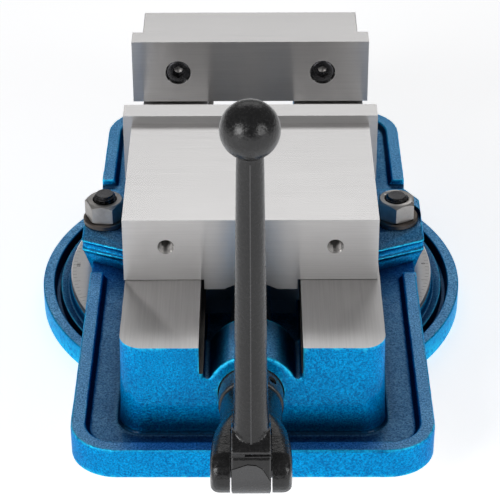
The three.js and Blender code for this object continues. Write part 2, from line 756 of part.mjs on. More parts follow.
const collarScrew = piece('collar_set_screw', setScrew(2.5, 5), blackenedSteel);
const collarScrewAngle = 42 * Math.PI / 180;
collarScrew.position.set(
  Math.sin(collarScrewAngle) * (screwRadius + fitGap),
  -Math.cos(collarScrewAngle) * (screwRadius + fitGap),
  -6.5,
);
collarScrew.quaternion.setFromUnitVectors(
  new THREE.Vector3(0, 0, 1),
  new THREE.Vector3(Math.sin(collarScrewAngle), -Math.cos(collarScrewAngle), 0),
);
screwGroup.add(collarScrew);

const hubScrew = piece('hub_set_screw', setScrew(3, 7), blackenedSteel);
hubScrew.position.set(0, -stubRadius - fitGap, -23);
hubScrew.rotation.x = Math.PI / 2;
screwGroup.add(hubScrew);

const crankGroup = new THREE.Group();
crankGroup.position.set(0, crankPinY, screwHeight);
crankGroup.add(piece('handle_pin', rod('x', pinRadius, -21, 21), blackenedSteel));
crankGroup.add(piece('handle_arm', handleArm(), blackEnamel));
crankGroup.add(piece('ball_knob', ballKnob(), blackEnamel, [0, 0, armReach]));

vise.add(piece('swivel_base', swivelBase(), blueEnamel));
vise.add(bodyGroup, jawGroup, screwGroup, crankGroup);

export default vise;
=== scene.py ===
"""Angle-lock machine vise on a swivel base: the visual model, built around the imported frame.

Lengths are written in millimetres, and turned into metres when a mesh is made.
"""

import json
import math

import bmesh
import bpy
from mathutils import Matrix, Vector


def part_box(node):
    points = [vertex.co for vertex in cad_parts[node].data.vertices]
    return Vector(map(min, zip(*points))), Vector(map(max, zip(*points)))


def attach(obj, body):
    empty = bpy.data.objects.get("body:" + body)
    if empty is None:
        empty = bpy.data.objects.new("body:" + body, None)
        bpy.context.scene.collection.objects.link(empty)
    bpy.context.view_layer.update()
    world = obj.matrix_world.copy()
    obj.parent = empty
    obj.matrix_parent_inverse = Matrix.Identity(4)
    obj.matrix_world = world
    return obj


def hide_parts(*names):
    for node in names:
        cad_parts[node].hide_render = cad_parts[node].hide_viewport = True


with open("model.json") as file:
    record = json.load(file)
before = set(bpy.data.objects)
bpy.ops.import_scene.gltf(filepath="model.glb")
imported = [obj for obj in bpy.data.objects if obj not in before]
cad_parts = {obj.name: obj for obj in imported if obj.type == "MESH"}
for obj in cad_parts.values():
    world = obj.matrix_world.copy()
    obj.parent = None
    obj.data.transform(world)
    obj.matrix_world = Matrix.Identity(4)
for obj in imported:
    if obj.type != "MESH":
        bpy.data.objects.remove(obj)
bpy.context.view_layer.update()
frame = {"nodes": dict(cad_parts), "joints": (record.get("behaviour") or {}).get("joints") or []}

MM = 0.001
SIDES = (("left", -1), ("right", 1))


# ---- Sizes and places, from the frame ------------------------------------------------------------

def span(node):
    """Lowest and highest corner of a CAD node, in millimetres."""
    low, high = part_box(node)
    return low / MM, high / MM


def joint(name):
    """A point on a joint's axis, in millimetres."""
    return next(Vector(j["pos_m"]) / MM for j in frame["joints"] if j["name"] == name)


BASE_HIGH = span("swivel_base")[1]
BODY_LOW, BODY_HIGH = span("vise_body")
SCREW_Z = joint("screw_turn").z
PIN_Y = joint("crank_fold").y
BOLT_X = joint("nut_right_turn").x

BASE_RADIUS = BASE_HIGH.x
HUB_TOP = BASE_HIGH.z
HUB_RADIUS = 119

# The body's flange, with a gutter inside its rim, and the lugs on its sides.
UNDERSIDE = BODY_LOW.z
FLANGE_HALF = 104.7
FLANGE_FRONT = BODY_LOW.y
FLANGE_REAR = BODY_HIGH.y
GUTTER = 37
RIM_TOP = 42
RIM_WIDTH = 8.3
LUG_REACH = BODY_HIGH.x
LUG_SEAT = 57

# The body's rails, and the wall in front of them with a round hump over the screw.
BED_TOP = BODY_HIGH.z
RAIL_OUT = 74.8
RAIL_IN = 29.3
RAIL_REAR = 157
WALL_FRONT = joint("screw_turn").y
WALL_REAR = WALL_FRONT + 39
HUMP = 26

SCREW_RADIUS = 12
PITCH = 5
PIVOT_BORE = 5.3
PLATE_SCREW_Z = BED_TOP + 22.8


# ---- Outlines ------------------------------------------------------------------------------------

def arc(cx, cy, radius, start, end, steps):
    """Points on an arc, angles in degrees."""
    points = []
    for i in range(steps + 1):
        a = math.radians(start + (end - start) * i / steps)
        points.append((cx + radius * math.cos(a), cy + radius * math.sin(a)))
    return points


def rounded(x0, x1, y0, y1, radii, steps=8):
    """A rectangle with its own radius at each corner: low-low, high-low, high-high, low-high."""
    a, b, c, d = (max(r, 0.01) for r in radii)
    return (
        arc(x0 + a, y0 + a, a, 180, 270, steps)
        + arc(x1 - b, y0 + b, b, 270, 360, steps)
        + arc(x1 - c, y1 - c, c, 0, 90, steps)
        + arc(x0 + d, y1 - d, d, 90, 180, steps)
    )


def circle(radius, steps=48, cx=0, cy=0):
    return arc(cx, cy, radius, 0, 360 - 360 / steps, steps - 1)


def hexagon(across_flats, turn=0):
    return arc(0, 0, across_flats / math.sqrt(3), turn, turn + 300, 5)


# ---- Meshes --------------------------------------------------------------------------------------

AXES = {
    "z": lambda u, v, w: (u, v, w),
    "y": lambda u, v, w: (u, w, v),
    "x": lambda u, v, w: (w, u, v),
}


def loft(layers, axis="z"):
    """A closed solid through outlines of one point count: [(outline, place on the axis), ...]."""
    bm = bmesh.new()
    put = AXES[axis]
    rings = [[bm.verts.new(put(u, v, w)) for u, v in outline] for outline, w in layers]
    count = len(rings[0])
    for low, high in zip(rings, rings[1:]):
        for i in range(count):
            j = (i + 1) % count
            bm.faces.new((low[i], low[j], high[j], high[i]))
    bm.faces.new(rings[0])
    bm.faces.new(rings[-1])
    bmesh.ops.recalc_face_normals(bm, faces=bm.faces)
    return bm


def prism(outline, low, high, axis="z"):
    return loft([(outline, low), (outline, high)], axis)


def cuboid(x, y, z):
    """A box between two limits on each axis."""
    return prism([(x[0], y[0]), (x[1], y[0]), (x[1], y[1]), (x[0], y[1])], z[0], z[1])


def cylinder(radius, low, high, axis="z", at=(0, 0), steps=48):
    return prism(circle(radius, steps, *at), low, high, axis)


def lathe(profile, axis="z", steps=64, closed=False):
    """A profile of (radius, place) points turned about an axis.

    An open profile starts and ends on the axis; a closed one makes a ring.
    """
    bm = bmesh.new()
    put = AXES[axis]
    rings = []
    for radius, w in profile:
        if radius < 1e-6:
            rings.append([bm.verts.new(put(0, 0, w))])
        else:
            rings.append([bm.verts.new(put(u, v, w)) for u, v in circle(radius, steps)])
    pairs = list(zip(rings, rings[1:]))
    if closed:
        pairs.append((rings[-1], rings[0]))
    for low, high in pairs:
        for i in range(steps):
            j = (i + 1) % steps
            corners = [low[i % len(low)], low[j % len(low)]]
            corners += [high[j % len(high)], high[i % len(high)]]
            unique = list(dict.fromkeys(corners))
            if len(unique) > 2:
                bm.faces.new(unique)
    bmesh.ops.recalc_face_normals(bm, faces=bm.faces)
    return bm


def strip(outer, inner, z0, z1, lean):
    """A wall between two open lines of one point count, its inner face leaning out at the foot."""
    bm = bmesh.new()
    rows = []
    for (ox, oy), (ix, iy) in zip(outer, inner):
        away = Vector((ix - ox, iy - oy)).normalized() * lean
        rows.append([
            bm.verts.new((ox, oy, z0)), bm.verts.new((ox, oy, z1)),
            bm.verts.new((ix, iy, z1)), bm.verts.new((ix + away.x, iy + away.y, z0)),
        ])
    for a, b in zip(rows, rows[1:]):
        for i in range(4):
            j = (i + 1) % 4
            bm.faces.new((a[i], a[j], b[j], b[i]))
    bm.faces.new(rows[0])
    bm.faces.new(rows[-1])
    bmesh.ops.recalc_face_normals(bm, faces=bm.faces)
    return bm


def thread(major, depth, pitch, z0, z1, hand=1, steps=48, flat=0.3, per_turn=12):
    """A rod with a helical thread: hand is 1 for right and -1 for left. Its ends are chamfered."""
    rows = max(2, round((z1 - z0) / pitch * per_turn))
    bm = bmesh.new()
    rings = []
    for k in range(rows + 1):
        z = z0 + (z1 - z0) * k / rows
        near_end = min(z - z0, z1 - z)
        limit = major - max(0.0, depth * 1.3 - near_end)
        ring = []
        for i in range(steps):
            phase = (z / pitch - hand * i / steps) % 1.0
            height = min(1.0, max(0.0, (abs(phase - 0.5) * 2 - flat) / (1 - 2 * flat)))
            radius = min(major - depth * (1 - height), limit)
            a = 2 * math.pi * i / steps
            ring.append(bm.verts.new((radius * math.cos(a), radius * math.sin(a), z)))
        rings.append(ring)
    for low, high in zip(rings, rings[1:]):
        for i in range(steps):
            j = (i + 1) % steps
            bm.faces.new((low[i], low[j], high[j], high[i]))
    bm.faces.new(rings[0])
    bm.faces.new(rings[-1])
    bmesh.ops.recalc_face_normals(bm, faces=bm.faces)
    return bm


def laid_down(bm):
    """The mesh with Y and Z swapped, so that what stood along Z lies along Y."""
    bm.transform(Matrix(((1, 0, 0, 0), (0, 0, 1, 0), (0, 1, 0, 0), (0, 0, 0, 1))))
    bmesh.ops.recalc_face_normals(bm, faces=bm.faces)
    return bm


def moved(bm, at=(0, 0, 0), turn=0, axis="Z"):
    """The mesh turned about an axis through the origin, in degrees, then shifted."""
    bm.transform(Matrix.Translation(Vector(at)) @ Matrix.Rotation(math.radians(turn), 4, axis))
    return bm


def joined(solids):
    """All the solids in one mesh."""
    whole = bmesh.new()
    for bm in solids:
        part = bpy.data.meshes.new("part")
        bm.to_mesh(part)
        bm.free()
        whole.from_mesh(part)
        bpy.data.meshes.remove(part)
    return whole


def add_object(name, data):
    """A new object in the scene."""
    obj = bpy.data.objects.new(name, data)
    bpy.context.scene.collection.objects.link(obj)
    return obj


def make(name, bm, materials, index=0):
    """A Blender object from a mesh in millimetres. All its faces take the material at index."""
    for face in bm.faces:
        face.material_index = index
    mesh = bpy.data.meshes.new(name)
    bm.to_mesh(mesh)
    bm.free()
    mesh.transform(Matrix.Scale(MM, 4))
    for material in materials:
        mesh.materials.append(material)
    return add_object(name, mesh)


def shift(obj, x, y, z):
    """Moves the object's mesh, by millimetres."""
    obj.data.transform(Matrix.Translation(Vector((x, y, z)) * MM))


def bake(obj):
    """Applies the object's modifiers to its mesh."""
    graph = bpy.context.evaluated_depsgraph_get()
    mesh = bpy.data.meshes.new_from_object(obj.evaluated_get(graph))
    old = obj.data
    obj.modifiers.clear()
    obj.data = mesh
    bpy.data.meshes.remove(old)
    return obj


def combine(obj, tool, operation):
    """A boolean with another object, which is used up."""
    modifier = obj.modifiers.new("boolean", "BOOLEAN")
    modifier.operation = operation
    modifier.solver = "MANIFOLD"
    modifier.object = tool
    bake(obj)
    bpy.data.objects.remove(tool)


def boolean(obj, tools, operation="DIFFERENCE", index=0):
    """Booleans with meshes in millimetres; the new faces take the material at index."""
    materials = list(obj.data.materials)
    for bm in tools:
        combine(obj, make("tool", bm, materials, index), operation)


def cast(name, solids, materials, voxel, rounding, waves=0.0, keep=1.0):
    """Solids grown into one rounded, slightly wavy casting; keep is the share of faces left."""
    obj = make(name, joined(solids), materials)
    remesh = obj.modifiers.new("remesh", "REMESH")
    remesh.mode = "VOXEL"
    remesh.voxel_size = voxel * MM
    smooth = obj.modifiers.new("smooth", "SMOOTH")
    smooth.factor = 0.5
    smooth.iterations = rounding
    if waves:
        clouds = bpy.data.textures.new(name + "_waves", "CLOUDS")
        clouds.noise_scale = 7 * MM
        clouds.noise_depth = 1
        displace = obj.modifiers.new("waves", "DISPLACE")
        displace.texture = clouds
        displace.texture_coords = "LOCAL"
        displace.strength = waves * MM
        displace.mid_level = 0.5
    if keep < 1:
        obj.modifiers.new("decimate", "DECIMATE").ratio = keep
    return bake(obj)


def bevel(obj, width, segments=2, angle=32):
    """Rounds the edges sharper than an angle, in degrees."""
    modifier = obj.modifiers.new("bevel", "BEVEL")
    modifier.width = width * MM
    modifier.segments = segments
    modifier.limit_method = "ANGLE"
    modifier.angle_limit = math.radians(angle)
    modifier.miter_outer = "MITER_ARC"
    modifier.use_clamp_overlap = True
    bake(obj)


def settle(obj, body, slot, *nodes, sharp=38):
    """Shading, place in the assembly, and the CAD nodes that the object stands for, which are
    hidden; slot, the finish slot, is not used.
    """
    mesh = obj.data
    for polygon in mesh.polygons:
        polygon.use_smooth = True
    mesh.set_sharp_from_angle(angle=math.radians(sharp))
    weighted = obj.modifiers.new("weighted", "WEIGHTED_NORMAL")
    weighted.keep_sharp = True
    bake(obj)
    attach(obj, body)
    if nodes:
        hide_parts(*nodes)


# ---- Materials -----------------------------------------------------------------------------------

class Nodes:
    """A short way to write a node material."""

    def __init__(self, name):
        self.material = bpy.data.materials.new(name)
        self.material.use_nodes = True
        self.tree = self.material.node_tree
        self.shader = self.tree.nodes["Principled BSDF"]
        coordinates = self.tree.nodes.new("ShaderNodeTexCoord")
        self.place = coordinates.outputs["Object"]
        self.facing = coordinates.outputs["Normal"]

    def add(self, kind, values=(), links=()):
        node = self.tree.nodes.new("ShaderNode" + kind)
        for key, value in dict(values).items():
            if key in node.inputs:
                node.inputs[key].default_value = value
            else:
                setattr(node, key, value)
        for key, source in dict(links).items():
            self.tree.links.new(source, node.inputs[key])
        return node

    def axes(self, vector):
        """A vector's outputs X, Y and Z."""
        return self.add("SeparateXYZ", (), {0: vector}).outputs

    def stretched(self, scale):
        """Object coordinates multiplied by a scale for each axis."""
        return self.add("Mapping", {"Scale": scale}, {"Vector": self.place}).outputs["Vector"]

    def noise(self, scale, detail=4.0, rough=0.55, vector=None):
        values = {"Scale": scale, "Detail": detail, "Roughness": rough, "Distortion": 0.0}
        return self.add("TexNoise", values, {"Vector": vector or self.place}).outputs["Fac"]

    def ramp(self, source, positions, colours):
        node = self.add("ValToRGB", (), {"Fac": source})
        elements = node.color_ramp.elements
        while len(elements) < len(positions):
            elements.new(0.5)
        for element, position, colour in zip(elements, positions, colours):
            element.position = position
            element.color = (*colour, 1)
        return node.outputs["Color"]

    def span(self, source, low, high, new_low, new_high):
        values = {"From Min": low, "From Max": high, "To Min": new_low, "To Max": new_high}
        return self.add("MapRange", values, {"Value": source}).outputs["Result"]

    def around(self, noise, swing, middle=0.0):
        """A noise spread over middle - swing to middle + swing."""
        return self.span(noise, 0.3, 0.7, middle - swing, middle + swing)

    def link(self, sockets, values):
        """Gives each socket its source, number or colour."""
        for socket, value in zip(sockets, values):
            if isinstance(value, (int, float)):
                socket.default_value = value
            elif isinstance(value, tuple):
                socket.default_value = (*value, 1)
            else:
                self.tree.links.new(value, socket)

    def math(self, operation, *values):
        node = self.add("Math", {"operation": operation})
        self.link(node.inputs, values)
        return node.outputs["Value"]

    def product(self, first, *others):
        for other in others:
            first = self.math("MULTIPLY", first, other)
        return first

    def mix(self, factor, a, b):
        node = self.add("Mix", {"data_type": "RGBA", "blend_type": "MIX"})
        # Inputs 0, 6 and 7 are the factor and the two colours.
        self.link((node.inputs[0], node.inputs[6], node.inputs[7]), (factor, a, b))
        return node.outputs[2]

    def bump(self, height, distance, under=None):
        links = {"Height": height}
        if under:
            links["Normal"] = under
        values = {"Distance": distance * MM, "Strength": 1.0}
        return self.add("Bump", values, links).outputs["Normal"]

    def edges(self, low, high):
        """0 on flat faces, rising to 1 on raised edges."""
        pointiness = self.add("NewGeometry").outputs["Pointiness"]
        return self.span(pointiness, low, high, 0, 1)

    def hollows(self, reach, low, high):
        """1 deep in the piece's own recesses, falling to 0 in the open."""
        values = {"Distance": reach * MM, "only_local": True, "samples": 8}
        open_sky = self.add("AmbientOcclusion", values).outputs["AO"]
        return self.span(open_sky, low, high, 1, 0)

    def set(self, constants=(), **linked):
        for key, value in dict(constants).items():
            self.shader.inputs[key].default_value = value
        for key, source in linked.items():
            self.tree.links.new(source, self.shader.inputs[key.replace("_", " ")])
        return self.material


def blue_enamel():
    """Metallic blue enamel over a rough sand casting, with painted light: a lighter sheen on
    up-facing tops, painted cyan highlights on raised edges, and painted shade in the hollows, the
    gutter and the channel.
    """
    n = Nodes("blue_enamel")
    grain = n.noise(930, 3, 0.62)
    fine = n.noise(2100, 2, 0.5)
    mottle = n.noise(55, 3, 0.5)
    stops = (0.33, 0.48, 0.66)
    walls = n.ramp(grain, stops, ((0.0, 0.12, 0.36), (0.0, 0.25, 0.60), (0.0, 0.44, 0.87)))
    # Painted sheen: up-facing tops are lighter and whiter, standing in for the light they reflect
    # from above.
    sheened_tops = n.ramp(grain, stops, ((0.04, 0.12, 0.26), (0.12, 0.32, 0.58), (0.26, 0.56, 0.86)))
    facing_up = n.axes(n.facing)["Z"]
    base = n.mix(n.span(facing_up, 0.7, 0.96, 0, 1), walls, sheened_tops)
    base = n.mix(n.span(mottle, 0.4, 0.7, 0, 0.25), base, (0.0, 0.15, 0.42))
    # Painted shade: darker deep in the piece's own recesses.
    base = n.mix(n.hollows(20, 0.3, 0.97), base, (0.003, 0.024, 0.075))

    # Painted shade darkens the gutter, darkest up its sloping sides.
    x, y, z = (n.axes(n.place)[axis] for axis in "XYZ")
    above_floor = n.span(z, (GUTTER - 0.8) * MM, (GUTTER - 0.4) * MM, 0, 1)
    below_rim = n.span(z, (RIM_TOP - 1.5) * MM, (RIM_TOP - 0.8) * MM, 1, 0)
    slope = n.product(n.span(facing_up, 0.15, 0.3, 0, 1), n.span(facing_up, 0.8, 0.92, 1, 0.3))
    painted_gutter_shade = n.product(above_floor, below_rim, slope, 0.9)
    base = n.mix(painted_gutter_shade, base, (0.002, 0.012, 0.035))

    # Little light reaches the channel between the rails, behind the front wall.
    behind_wall = n.span(y, -196 * MM, -170 * MM, 0, 1)
    in_channel = n.span(z, (GUTTER + 3) * MM, (GUTTER + 9) * MM, 0, 1)
    between_rails = n.span(n.math("ABSOLUTE", x, 0.0), 30 * MM, 33 * MM, 1, 0)
    shade = n.product(behind_wall, in_channel, between_rails, 0.8)
    base = n.mix(shade, base, (0.004, 0.02, 0.05))

    # Painted highlight: bright cyan on raised edges, in broken patches.
    edge_highlight_patches = n.span(n.noise(330, 3, 0.6), 0.38, 0.55, 0.2, 1)
    base = n.mix(n.product(n.edges(0.514, 0.55), edge_highlight_patches), base, (0.03, 0.62, 0.92))
    relief = n.bump(fine, 0.06, n.bump(grain, 0.34))
    rough = n.span(mottle, 0.3, 0.7, 0.38, 0.46)
    return n.set(
        {
            "Metallic": 1.0, "Specular Tint": (0.08, 0.6, 0.95, 1),
            "Coat Weight": 0.16, "Coat Roughness": 0.12, "Coat IOR": 1.42,
        },
        Base_Color=base, Normal=relief, Roughness=rough,
    )


def ground_steel(name, along, tone, gloss, top_gloss):
    """Ground steel: fine straight lines along one axis, which smear reflections across them."""
    n = Nodes(name)
    fine_scale = {"x": (20, 1400, 1400), "y": (1400, 20, 1400)}[along]
    wide_scale = {"x": (8, 260, 260), "y": (260, 8, 260)}[along]
    lines = n.noise(1.0, 3, 0.6, n.stretched(fine_scale))
    bands = n.noise(1.0, 2, 0.5, n.stretched(wide_scale))
    clouds = n.noise(22, 3, 0.55)
    shade = n.math("ADD", n.around(lines, 0.032), n.around(bands, 0.012))
    level = n.math("ADD", shade, n.around(clouds, 0.012, tone))
    warm = {"Red": level, "Green": n.product(level, 0.985), "Blue": n.product(level, 0.98)}
    colour = n.add("CombineColor", (), warm).outputs["Color"]
    facing = n.axes(n.facing)
    finish = n.span(facing["Z"], 0.6, 0.9, gloss, top_gloss)
    uneven = n.math("ADD", n.around(bands, 0.006), n.around(clouds, 0.008))
    rough = n.math("ADD", finish, uneven)
    # End faces, square to the lines, are ground the other way.
    own, other = ("X", "Y") if along == "x" else ("Y", "X")
    end_face = n.math("GREATER_THAN", n.math("ABSOLUTE", facing[own], 0.0), 0.7)
    links = {own: n.math("SUBTRACT", 1.0, end_face), other: end_face}
    way = n.add("CombineXYZ", (), links).outputs["Vector"]
    turn = {"vector_type": "VECTOR", "convert_from": "OBJECT", "convert_to": "WORLD"}
    tangent = n.add("VectorTransform", turn, {0: way}).outputs["Vector"]
    return n.set(
        {"Metallic": 1.0, "Anisotropic": 1.0, "Anisotropic Rotation": 0.25},
        Base_Color=colour, Roughness=rough, Tangent=tangent,
    )


def black_enamel():
    """Glossy black enamel over a fine casting, whose grain breaks up the highlights."""
    n = Nodes("black_enamel")
    grain = n.noise(760, 3, 0.65)
    lumps = n.noise(190, 2, 0.5)
    colour = n.mix(n.span(grain, 0.35, 0.65, 0, 1), (0.002, 0.002, 0.0024), (0.009, 0.0088, 0.0094))
    colour = n.mix(n.edges(0.51, 0.55), colour, (0.05, 0.05, 0.052))
    relief = n.bump(grain, 0.2, n.bump(lumps, 0.15))
    rough = n.span(grain, 0.35, 0.65, 0.14, 0.3)
    return n.set({"Specular IOR Level": 0.48}, Base_Color=colour, Normal=relief, Roughness=rough)


def turned_metal(name, dark, light, rough_low, rough_high, scale=400.0):
    """Machined or blackened metal with fine tool marks and light mottling."""
    n = Nodes(name)
    marks = n.noise(scale, 4, 0.65)
    mottle = n.noise(90, 3, 0.5)
    colour = n.mix(n.span(mottle, 0.3, 0.7, 0, 1), dark, light)
    colour = n.mix(n.edges(0.54, 0.64), colour, tuple(min(1.0, c * 1.8) for c in light))
    rough = n.span(marks, 0.3, 0.7, rough_low, rough_high)
    return n.set({"Metallic": 1.0}, Base_Color=colour, Roughness=rough, Normal=n.bump(marks, 0.02))


BLUE = blue_enamel()
GROUND_JAW = ground_steel("ground_steel_across", "x", 0.85, 0.36, 0.21)
GROUND_BED = ground_steel("ground_bed", "y", 0.52, 0.38, 0.38)
GROUND_HUB = ground_steel("turned_hub", "x", 0.80, 0.42, 0.42)
BLACK = black_enamel()
BLACKENED = turned_metal(
    "blackened_steel", (0.035, 0.035, 0.038), (0.08, 0.08, 0.084), 0.22, 0.36)
WASHER_STEEL = turned_metal(
    "washer_steel", (0.05, 0.042, 0.038), (0.10, 0.085, 0.075), 0.35, 0.5)
NUT_STEEL = turned_metal(
    "nut_steel", (0.27, 0.26, 0.255), (0.42, 0.405, 0.39), 0.42, 0.56, 700.0)
BRIGHT = turned_metal("bright_steel", (0.5, 0.5, 0.51), (0.6, 0.6, 0.61), 0.18, 0.3)
BRONZE = turned_metal("bronze", (0.42, 0.25, 0.10), (0.55, 0.35, 0.15), 0.3, 0.42)
IRON = turned_metal("machined_iron", (0.20, 0.20, 0.205), (0.28, 0.28, 0.285), 0.4, 0.55)
# Painted shade: a darker copy of the machined iron, for the milled undercut faces inside the
# channel.
SHADED_IRON = turned_metal("milled_undercut_shaded", (0.07, 0.068, 0.066), (0.12, 0.115, 0.11), 0.35, 0.5)
INK = turned_metal("dial_ink", (0.10, 0.095, 0.09), (0.14, 0.13, 0.125), 0.5, 0.6)


# ---- Swivel base ---------------------------------------------------------------------------------

def swivel_base():
    """A turned casting: a rim, a groove and a raised hub with a T-slot; two slots for bolts."""
    corner = 1.2
    rim_top = 15.5
    rim_inner = BASE_RADIUS - 7.6
    groove = 8
    shoulder = BASE_RADIUS - 11.6
    band = HUB_TOP - 4
    neck_inner, neck_outer = 87, 103
    tee_inner, tee_outer = 81, 109
    tee_floor, tee_top = 5, 13.8
    pivot_radius, pivot_floor = 15.3, 6
    profile = [(0, 0), (40, 0), (42, 3), (75, 3), (77, 0)]
    profile += [(BASE_RADIUS - corner, 0), (BASE_RADIUS, corner)]
    profile += arc(BASE_RADIUS - corner, rim_top - corner, corner, 0, 90, 5)
    profile += arc(rim_inner + corner, rim_top - corner, corner, 90, 175, 5)
    profile += [(rim_inner - 0.5, groove + 1.2), (rim_inner - 1.2, groove)]
    profile += [(shoulder + 0.8, groove), (shoulder + 0.2, groove + 1)]
    profile += arc(shoulder - 0.8, 13.2, 0.8, 5, 85, 4)
    profile += arc(HUB_RADIUS + 2.7, 14.1, 1.6, 265, 190, 5)
    profile += [(HUB_RADIUS + 0.8, band - 0.5), (HUB_RADIUS + 0.3, band), (HUB_RADIUS, band + 0.2)]
    profile += [(HUB_RADIUS, HUB_TOP - 0.6), (HUB_RADIUS - 0.6, HUB_TOP)]
    profile += [(neck_outer, HUB_TOP), (neck_outer, tee_top), (tee_outer, tee_top)]
    profile += [(tee_outer, tee_floor), (tee_inner, tee_floor)]
    profile += [(tee_inner, tee_top), (neck_inner, tee_top), (neck_inner, HUB_TOP)]
    profile += [(pivot_radius, HUB_TOP), (pivot_radius, pivot_floor), (0, pivot_floor)]
    obj = make("swivel_base_casting", lathe(profile, steps=240), [BLUE, GROUND_HUB, IRON])
    for polygon in obj.data.polygons:
        c = polygon.center / MM
        radius = math.hypot(c.x, c.y)
        if radius < tee_outer + 1 or c.z > HUB_TOP - 0.4:
            polygon.material_index = 1
        elif c.z > band and radius < HUB_RADIUS + 0.3:
            polygon.material_index = 2
    # Bolt heads enter the T-slot at the rear.
    tools = [cuboid((-15, 15), (tee_inner, tee_outer), (tee_floor, HUB_TOP + 1))]
    slot_y = 125
    for end in (-1, 1):
        slot = prism(rounded(-9, 9, -20, 9, (0, 0, 9, 9), 10), -1, HUB_TOP + 1)
        tools.append(moved(slot, (0, end * slot_y, 0), 0 if end < 0 else 180))
        tools.append(cylinder(13, groove, HUB_TOP + 1, at=(0, end * slot_y)))
    boolean(obj, tools, index=1)
    settle(obj, "base", "blue_enamel", "swivel_base")


def numeral(degree, radius, lift):
    """A small number on the hub's top, read from outside, 0 to 180 on both sides."""
    text = bpy.data.curves.new("numeral", "FONT")
    text.body = str(abs((degree + 180) % 360 - 180) if degree else 0)
    text.size = 3.6 * MM
    text.align_x = "CENTER"
    text.align_y = "TOP"
    text.extrude = lift / 2 * MM
    curve = add_object("numeral", text)
    graph = bpy.context.evaluated_depsgraph_get()
    mesh = bpy.data.meshes.new_from_object(curve.evaluated_get(graph))
    bpy.data.objects.remove(curve)
    angle = math.radians(degree)
    spin = Matrix.Rotation(angle + math.pi / 2, 4, "Z")
    spot = Vector((radius * math.cos(angle), radius * math.sin(angle), HUB_TOP + lift / 2)) * MM
    mesh.transform(Matrix.Translation(spot) @ spin)
    mesh.materials.clear()
    mesh.materials.append(INK)
    settle(add_object(f"dial_numeral_{degree:03d}", mesh), "base", "blackened_steel")


def dial():
    """Fine degree lines and small numerals around the edge of the hub's machined top."""
    lift = 0.04
    outer = HUB_RADIUS - 1.2
    marks = []
    for degree in range(0, 360, 2):
        length = 4.2 if degree % 10 == 0 else 2.4
        mark = cuboid((outer - length, outer), (-0.09, 0.09), (HUB_TOP - 0.2, HUB_TOP + lift))
        marks.append(moved(mark, turn=degree))
    settle(make("dial_marks", joined(marks), [INK]), "base", "blackened_steel")
    for degree in range(0, 360, 30):
        numeral(degree, outer - 5, lift)


# ---- Vise body -----------------------------------------------------------------------------------

def rim_line(side, end, corner, inset, y_stop):
    """A quarter of the flange's edge, open: along the side, round a corner, to the middle."""
    away = 1 if end > 0 else -1
    half = FLANGE_HALF - inset
    edge = end - away * inset
    radius = corner - inset
    points = [(half, y_stop)]
    points += arc(half - radius, edge - away * radius, radius, 0, away * 90, 12)
    return [(side * x, y) for x, y in points + [(-1, edge)]]


# How far the block's faces stand out of the bed's outline, at heights up to the undercut.
DRAFT = [
    (4.6, GUTTER - 3), (3.4, GUTTER + 0.5), (2.3, GUTTER + 1.6), (1.7, GUTTER + 3.4), (1.2, 51),
]


def rail(side):
    """One rail of the bed, with draft on its outside and an undercut ledge on its inside."""
    corner = 13
    waist_in = 38

    def outline(inner, grow):
        x0, x1 = inner, RAIL_OUT + grow
        y0, y1 = WALL_FRONT - grow * 0.6, RAIL_REAR + grow * 0.6
        points = rounded(x0, x1, y0, y1, (0.2, corner + grow, corner + grow, 0.2), 10)
        return [(side * x, y) for x, y in points]

    foot = loft([(outline(RAIL_IN, grow), z) for grow, z in DRAFT])
    waist = loft([(outline(waist_in, 1.3), 48), (outline(waist_in, 0.4), 78)])
    ledge_in = RAIL_IN - 1.5
    ledge = loft([(outline(ledge_in, 0.5), 77), (outline(ledge_in, 0), BED_TOP + 4)])
    return [foot, waist, ledge]


def front_wall():
    """The wall between the rails: a round hump over the screw, with a notch on each side."""
    low = BED_TOP - 20.5
    start = math.degrees(math.asin((low - SCREW_Z) / HUMP))
    behind = RAIL_IN + 12
    top = [(-behind, GUTTER - 3), (behind, GUTTER - 3), (behind, low + 7)]
    top += [(RAIL_IN + 1, low + 7), (RAIL_IN - 1, low)]
    top += arc(0, SCREW_Z, HUMP, start - 2, 182 - start, 28)
    top += [(-RAIL_IN + 1, low), (-RAIL_IN - 1, low + 7), (-behind, low + 7)]
    sill = []
    for grow, z in DRAFT + [(0.6, 72)]:
        front, rear = WALL_FRONT - grow * 0.6, WALL_REAR - 2
        sill.append(([(-behind, front), (behind, front), (behind, rear), (-behind, rear)], z))
    return [prism(top, WALL_FRONT - 0.3, WALL_REAR, "y"), loft(sill)]


def lug(side):
    """A stepped ear on the side of the body, that a clamping bolt goes through."""
    def outline(inner_front, outer_front, reach, rear):
        points = [
            (60, inner_front - 1), (80, inner_front), (reach - 1.6, outer_front),
            (reach, outer_front + 1.6), (reach, rear - 15), (FLANGE_HALF - 2, rear), (60, rear + 4),
        ]
        return [(side * x, y) for x, y in points]

    top = LUG_REACH - 0.3
    ear = loft([
        (outline(-31, -18, 105.5, 42), UNDERSIDE - 2), (outline(-31, -18, 106, 41), 30),
        (outline(-31, -18, 109.3, 40), 40), (outline(-30, -17, top, 39), 43.6),
        (outline(-31.6, -18.6, top + 0.2, 39), 44.6), (outline(-31.6, -18.6, top + 0.2, 38), 45.8),
        (outline(-29.6, -16.8, top - 0.3, 38), 46.8), (outline(-29.6, -16.8, top - 0.3, 38), 50.2),
        (outline(-31.2, -18.2, top + 0.1, 37), 51.0), (outline(-31.2, -18.2, top + 0.1, 37), 52.0),
        (outline(-28.4, -15.8, top - 0.4, 37), 53.0), (outline(-17, -8.5, top - 0.6, 35), LUG_SEAT),
    ])
    front = -4 if side > 0 else 8
    lip = [(60, front + 3), (RAIL_OUT, front + 2), (103, front), (top - 2, front + 1)]
    lip += [(top - 0.8, front + 3), (top - 0.8, 18), (102, 32), (60, 33)]
    foot, crest = ([(side * x * k, y) for x, y in lip] for k in (1.0, 0.995))
    return [ear, loft([(foot, LUG_SEAT - 1), (crest, LUG_SEAT + 4.8)])]


